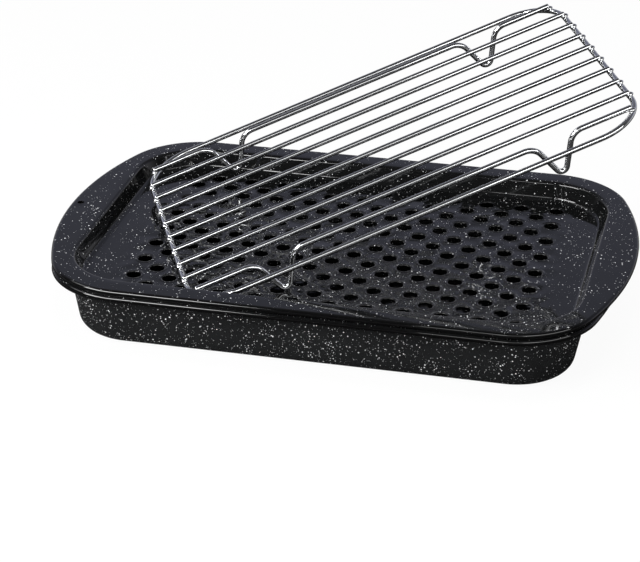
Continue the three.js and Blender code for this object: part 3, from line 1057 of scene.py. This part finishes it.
class ROASTER_OT_rack_wires(bpy.types.Operator):
    """Builds the rack's straight wires"""

    bl_idname = "roaster.rack_wires"
    bl_label = "Build straight wires"

    def execute(self, context):
        settings = context.scene.roaster
        rack = settings.rack
        radius = rack.grid_wire / 2
        material = chrome_material("wire_plating", settings.finish)
        for name, y in zip(WIRE_NODES, wire_rows(rack)):
            half = frame_reach(rack, y) + rack.overhang - DOME_RISE * radius
            path = np.array([[-half, 0.0], [half, 0.0]])
            travel = np.array([[1.0, 0.0], [1.0, 0.0]])
            points, faces, uv = tube(path, travel, radius, False)
            points = rack_place(rack, points + np.array([0.0, y, 0.0]))
            new_wire(f"plated_{name}", points, faces, uv, [name], material)
        return {"FINISHED"}


class ROASTER_OT_rack_feet(bpy.types.Operator):
    """Builds the two wires with bent feet"""

    bl_idname = "roaster.rack_feet"
    bl_label = "Build foot wires"

    def execute(self, context):
        settings = context.scene.roaster
        rack = settings.rack
        radius = rack.foot_wire / 2
        leg = rack.leg_angle
        bends = rack.top_bend + rack.tip_bend
        leg_length = (rack.foot_depth - bends * (1 - math.cos(leg))) / math.sin(leg)
        half_span = bends * math.sin(leg) + leg_length * math.cos(leg)
        quarter = math.pi / 2
        height = frame_height(rack) + (rack.frame_wire + rack.foot_wire) / 2 + rack.gap
        material = chrome_material("foot_plating", settings.finish)
        level = np.array([[1.0, 0.0]])
        bent = (
            (-half_span, -rack.top_bend, rack.top_bend, quarter, quarter - leg),
            (0.0, rack.tip_bend - rack.foot_depth, rack.tip_bend, -quarter - leg, leg - quarter),
            (half_span, -rack.top_bend, rack.top_bend, quarter + leg, quarter),
        )
        for name, y in zip(FOOT_NODES, (-foot_rows(rack), foot_rows(rack))):
            half = frame_reach(rack, y) + rack.overhang - DOME_RISE * radius
            parts = [(np.array([[-half, 0.0]]), level)]
            for middle in (-rack.foot_spacing / 2, rack.foot_spacing / 2):
                parts += [arc(middle + x, z, bend, *turn, ARC_STEPS) for x, z, bend, *turn in bent]
            parts.append((np.array([[half, 0.0]]), level))
            points, faces, uv = tube(*join(parts), radius, False)
            upright = np.stack([points[:, 0], y - points[:, 2], points[:, 1] + height], axis=-1)
            new_wire(f"plated_{name}", rack_place(rack, upright), faces, uv, [name], material)
        return {"FINISHED"}


class ROASTER_OT_rack_welds(bpy.types.Operator):
    """Builds the weld beads where the wires cross the frame"""

    bl_idname = "roaster.rack_welds"
    bl_label = "Build weld beads"

    def execute(self, context):
        settings = context.scene.roaster
        rack = settings.rack
        foot = foot_rows(rack)
        rows = np.hstack([-foot, wire_rows(rack), foot])
        y = np.hstack([rows, rows])
        x = frame_reach(rack, y) * np.repeat([1.0, -1.0], len(rows))
        z = np.full(len(x), -(rack.grid_wire + rack.gap) / 2)
        centres = np.stack([x, y, z], axis=-1)

        # An egg-shaped bead: sine and cosine of the two angles times three half sizes, with soft lobes.
        turn = 2 * math.pi * np.arange(BEAD_STEPS) / BEAD_STEPS
        tilt = np.radians(np.linspace(-BEAD_TILT, BEAD_TILT, BEAD_STEPS))[:, None]
        swell = 1 + BEAD_SWELL * np.cos(BEAD_LOBES * turn)
        around = np.cos(tilt) * swell
        sides = [around * np.cos(turn), around * np.sin(turn), np.sin(tilt) + 0 * turn]
        bead = (np.stack(sides, axis=-1) * BEAD_SIZE).reshape(-1, 3)
        points = rack_place(rack, (centres[:, None] + bead).reshape(-1, 3))
        band = band_faces(BEAD_STEPS, BEAD_STEPS)[:, :, ::-1].reshape(-1, 4)
        starts = np.arange(len(centres))[:, None] * len(bead)
        faces = (starts[:, None] + band).reshape(-1, 4).tolist()
        circle = np.arange(BEAD_STEPS)
        faces += (starts + circle[::-1]).tolist()
        faces += (starts + len(bead) - BEAD_STEPS + circle).tolist()
        corners = sum(len(face) for face in faces)
        material = chrome_material("weld_plating", settings.finish)
        new_wire("rack_weld_beads", points, faces, np.full((corners, 2), PLAIN_UV), [], material)
        return {"FINISHED"}


def seen_directly(tree):
    """1 for rays from the camera, from a mirror or through glass"""
    path = add_node(tree, "ShaderNodeLightPath", {})
    names = ("Is Camera Ray", "Is Glossy Ray", "Is Transmission Ray")
    return any_of(tree, *[path.outputs[name] for name in names])


def floor_material(stage):
    """Pale matt table that looks nearly white and keeps the object's shadow"""
    material, tree = new_material("table")
    tree.nodes.remove(tree.nodes["Principled BSDF"])
    matt = add_node(tree, "ShaderNodeBsdfDiffuse", {"Color": opaque(stage.floor)})
    white = add_node(tree, "ShaderNodeEmission", {"Color": opaque(WHITE), "Strength": 1.0})
    share = calculate(tree, "MULTIPLY", seen_directly(tree), TABLE_WHITE)
    mixed = add_node(tree, "ShaderNodeMixShader", {0: share, 1: matt.outputs[0], 2: white.outputs[0]})
    tree.links.new(mixed.outputs[0], tree.nodes["Material Output"].inputs["Surface"])
    return material


def card_material():
    """Matt black card"""
    material, tree = new_material("dark_card")
    inputs = tree.nodes["Principled BSDF"].inputs
    inputs["Base Color"].default_value = opaque(CARD_COLOUR)
    inputs["Roughness"].default_value = 1.0
    return material


def new_ground(name, reach, drop, material):
    """A square of the stage, a little below the pan's bottom"""
    mesh = bpy.data.meshes.new(name)
    corners = [(-reach, -reach), (reach, -reach), (reach, reach), (-reach, reach)]
    mesh.from_pydata([(x, y, -drop) for x, y in corners], [], [(0, 1, 2, 3)])
    mesh.materials.append(material)
    square = bpy.data.objects.new(name, mesh)
    bpy.context.scene.collection.objects.link(square)
    return square


def studio_world(stage):
    """Soft light from all round; the background is white, and mirrors see it darken towards the ceiling"""
    world = bpy.data.worlds.new("studio")
    world.use_nodes = True
    tree = world.node_tree
    tree.nodes.clear()
    direction = add_node(tree, "ShaderNodeTexCoord", {}).outputs["Generated"]
    parts = add_node(tree, "ShaderNodeSeparateXYZ", {0: direction}).outputs
    ceiling = add_node(tree, "ShaderNodeValToRGB", {0: parts["Z"]})
    ramp = ceiling.color_ramp
    for element, (height, level) in zip(ramp.elements, (CEILING[0], CEILING[-1])):
        element.position = height
        element.color = opaque(level)
    for height, level in CEILING[1:-1]:
        ramp.elements.new(height).color = opaque(level)
    behind = remap(tree, parts["Y"], FRONT_END, BACK_START, 0.0, 1.0)
    room = mix_colours(tree, behind, opaque(FRONT_COLOUR), ceiling.outputs[0])
    path = add_node(tree, "ShaderNodeLightPath", {})
    seen = mix_colours(tree, path.outputs["Is Camera Ray"], room, opaque(WHITE))
    around = add_node(tree, "ShaderNodeBackground", {"Color": opaque(WHITE), "Strength": stage.ambient})
    background = add_node(tree, "ShaderNodeBackground", {"Color": seen, "Strength": 1.0})
    mixed = add_node(
        tree, "ShaderNodeMixShader", {0: seen_directly(tree), 1: around.outputs[0], 2: background.outputs[0]}
    )
    output = add_node(tree, "ShaderNodeOutputWorld", {"Surface": mixed.outputs[0]})
    tree.nodes.active = output
    return world


def add_softbox(name, place, target, size, power):
    """A rectangular lamp that faces a point"""
    data = bpy.data.lights.new(name, "AREA")
    data.shape = "RECTANGLE"
    data.size = size[0]
    data.size_y = size[1]
    data.energy = power
    lamp = bpy.data.objects.new(name, data)
    lamp.location = place
    lamp.rotation_euler = (Vector(target) - Vector(place)).to_track_quat("-Z", "Y").to_euler()
    lamp.visible_camera = False
    bpy.context.scene.collection.objects.link(lamp)
    return lamp


class ROASTER_OT_stage(bpy.types.Operator):
    """Sets up the table, the lamps, the background and the camera"""

    bl_idname = "roaster.stage"
    bl_label = "Set up stage"

    def execute(self, context):
        scene = context.scene
        stage = scene.roaster.stage
        new_ground("table", TABLE_REACH, TABLE_DROP, floor_material(stage))
        card = new_ground("dark_card", CARD_REACH, CARD_DROP, card_material())
        card.visible_camera = False
        card.visible_diffuse = False
        card.visible_shadow = False
        for name, (power, place, aim, size, shines, mirrored) in LAMPS.items():
            lamp = add_softbox(name, place, aim, size, getattr(stage, power))
            lamp.visible_diffuse = shines
            lamp.visible_glossy = mirrored
        scene.world = studio_world(stage)

        data = bpy.data.cameras.new("camera")
        data.lens = stage.lens
        data.sensor_width = SENSOR_WIDTH
        data.sensor_fit = "HORIZONTAL"
        data.clip_end = CLIP_END
        camera = bpy.data.objects.new("camera", data)
        camera.location = CAMERA_PLACE
        camera.rotation_euler = CAMERA_TURN
        scene.collection.objects.link(camera)
        scene.camera = camera
        scene.view_settings.view_transform = "Standard"
        return {"FINISHED"}


class VIEW3D_PT_roaster(bpy.types.Panel):
    """Sidebar panel with the build steps and their settings"""

    bl_label = "Roasting pan with rack"
    bl_space_type = "VIEW_3D"
    bl_region_type = "UI"
    bl_category = "Roaster"

    def draw(self, context):
        settings = context.scene.roaster
        for operator in OPERATORS:
            self.layout.operator(operator.bl_idname)
        for group in ("sheet", "pan", "tray", "rack", "finish", "stage"):
            box = self.layout.box()
            box.label(text=group.capitalize())
            values = getattr(settings, group)
            for key in values.__annotations__:
                box.prop(values, key)


OPERATORS = (
    ROASTER_OT_pan,
    ROASTER_OT_tray,
    ROASTER_OT_rack_frame,
    ROASTER_OT_rack_wires,
    ROASTER_OT_rack_feet,
    ROASTER_OT_rack_welds,
    ROASTER_OT_stage,
)
GROUPS = (
    SheetSettings,
    PanSettings,
    TraySettings,
    RackSettings,
    FinishSettings,
    StageSettings,
    RoasterSettings,
)


def register():
    """Makes the settings, operators and panel known to Blender"""
    for kind in (*GROUPS, *OPERATORS, VIEW3D_PT_roaster):
        bpy.utils.register_class(kind)
    bpy.types.Scene.roaster = PointerProperty(type=RoasterSettings)


def unregister():
    """Takes them away again"""
    del bpy.types.Scene.roaster
    for kind in reversed((*GROUPS, *OPERATORS, VIEW3D_PT_roaster)):
        bpy.utils.unregister_class(kind)


def main():
    """Builds everything in order"""
    register()
    bpy.ops.roaster.pan()
    bpy.ops.roaster.tray()
    bpy.ops.roaster.rack_frame()
    bpy.ops.roaster.rack_wires()
    bpy.ops.roaster.rack_feet()
    bpy.ops.roaster.rack_welds()
    bpy.ops.roaster.stage()


if __name__ == "__main__":
    main()
